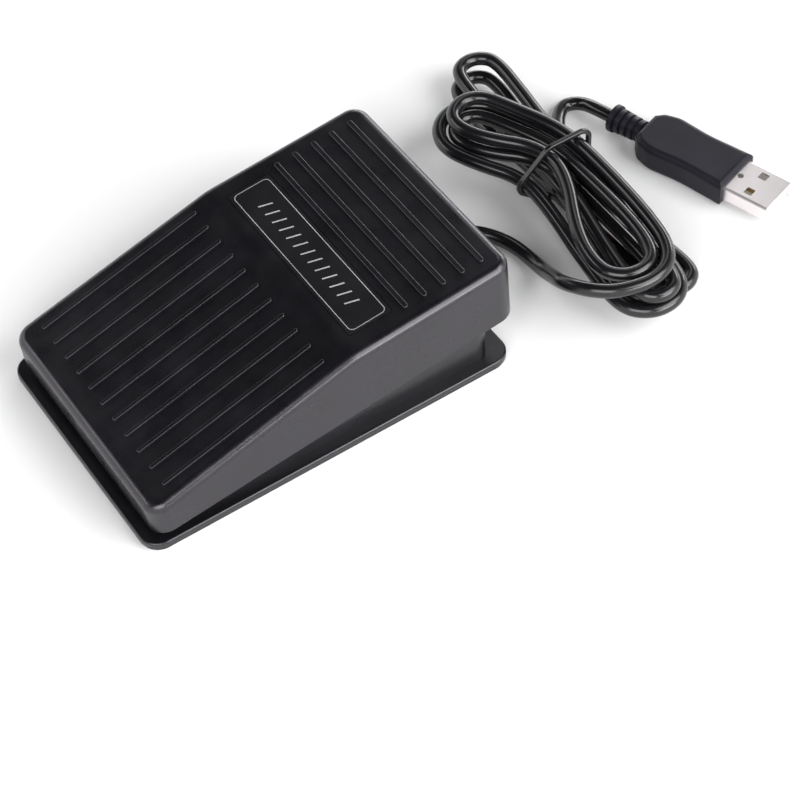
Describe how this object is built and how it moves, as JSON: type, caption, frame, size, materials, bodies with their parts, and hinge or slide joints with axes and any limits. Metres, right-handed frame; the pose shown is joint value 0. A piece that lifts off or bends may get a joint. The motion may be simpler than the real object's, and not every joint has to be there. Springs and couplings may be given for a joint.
{
  "type": "usb foot pedal switch",
  "caption": "Low wedge foot pedal: a hinged, ribbed black cover over a flat tray rocks down on springs to press a snap switch; a bundled cord leads to a USB plug.",
  "frame": {"origin": "Middle of the base's footprint at the floor, under the pedal; +Z up, the low hinge end toward -Y.", "axes": "+Y runs along the pedal from the low hinge end to the high rear where the cord leaves; +X is the right-hand side seen from the front end."},
  "size_m": [0.1007, 0.1872, 0.0337],
  "materials": {
    "cover_plastic": "satin black moulded ABS",
    "base_plastic": "fine-grained black moulded ABS",
    "pad_rubber": "matt black rubber sheet",
    "stop_rubber": "soft dark rubber",
    "label_film": "bare black polycarbonate inlay",
    "pin_steel": "ground steel pin",
    "clip_steel": "blued spring steel",
    "spring_steel": "drawn music wire",
    "screw_steel": "zinc-plated steel screws",
    "switch_red": "glossy red-brown phenolic",
    "switch_black": "black phenolic",
    "plunger_red": "red nylon",
    "terminal_brass": "tinned brass blades",
    "lever_steel": "bright spring steel strip",
    "board_laminate": "green solder mask on glass-fibre laminate",
    "chip_epoxy": "black epoxy with tinned pins",
    "crystal_steel": "drawn steel can",
    "capacitor_ceramic": "tan ceramic chips with tinned ends",
    "resistor_ceramic": "black film on white ceramic",
    "header_nylon": "ivory nylon",
    "insulation_black": "PVC insulation",
    "insulation_green": "PVC insulation",
    "insulation_white": "PVC insulation",
    "insulation_red": "PVC insulation",
    "cord_pvc": "satin black PVC jacket",
    "grommet_pvc": "soft black PVC",
    "tie_pvc": "black plastic-coated wire tie",
    "plug_pvc": "satin black overmoulded PVC",
    "shell_nickel": "nickel-plated steel shell",
    "tongue_plastic": "white insulating plastic",
    "contact_gold": "gold-flashed contacts"
  },
  "bodies": {
    "base": {"base_tray": "base_plastic", "grip_pad": "pad_rubber", "hinge_pin": "pin_steel", "hinge_clips": "clip_steel", "return_spring_left": "spring_steel", "return_spring_right": "spring_steel", "stop_bumpers": "stop_rubber", "switch_case": "switch_red", "switch_base": "switch_black", "switch_terminals": "terminal_brass", "lever_pin": "pin_steel", "switch_screws": "screw_steel", "circuit_board": "board_laminate", "board_screws": "screw_steel", "controller_chip": "chip_epoxy", "crystal_can": "crystal_steel", "board_capacitors": "capacitor_ceramic", "board_resistors": "resistor_ceramic", "wire_header": "header_nylon", "wire_housing": "header_nylon", "wire_black": "insulation_black", "wire_green": "insulation_green", "wire_white": "insulation_white", "wire_red": "insulation_red", "switch_wire_common": "insulation_black", "switch_wire_open": "insulation_red", "cable_jacket": "cord_pvc", "cable_clamp": "base_plastic", "clamp_screws": "screw_steel", "cable_grommet": "grommet_pvc", "cord_lead": "cord_pvc", "cord_hank": "cord_pvc", "cord_tail": "cord_pvc", "cord_tie": "tie_pvc", "plug_shell": "shell_nickel", "plug_tongue": "tongue_plastic", "plug_contacts": "contact_gold", "plug_body": "plug_pvc", "plug_relief": "plug_pvc"},
    "pedal": {"pedal_cover": "cover_plastic", "label_plate": "label_film"},
    "lever": {"switch_lever": "lever_steel"},
    "plunger": {"switch_plunger": "plunger_red"}
  },
  "joints": [
    {"name": "pedal_press", "type": "hinge", "parent": "base", "child": "pedal", "pos_m": [0, -0.04053, 0.0085], "axis": [-1, 0, 0], "range_deg": [0, 6.5], "stiffness_Nm_per_rad": 2, "springref_deg": -5.73, "deforming": ["return_spring_left", "return_spring_right"]},
    {"name": "lever_swing", "type": "hinge", "parent": "base", "child": "lever", "pos_m": [0, 0.01407, 0.0179], "axis": [1, 0, 0], "range_deg": [0, 10.8]},
    {"name": "plunger_slide", "type": "slide", "parent": "base", "child": "plunger", "axis": [0, 0, -1], "range_m": [0, 0.0012]}
  ],
  "couplings": [
    {"joint": "lever_swing", "follows": "pedal_press", "ratio": 1.654},
    {"joint": "plunger_slide", "follows": "pedal_press", "m_per_rad": 0.009924}
  ]
}
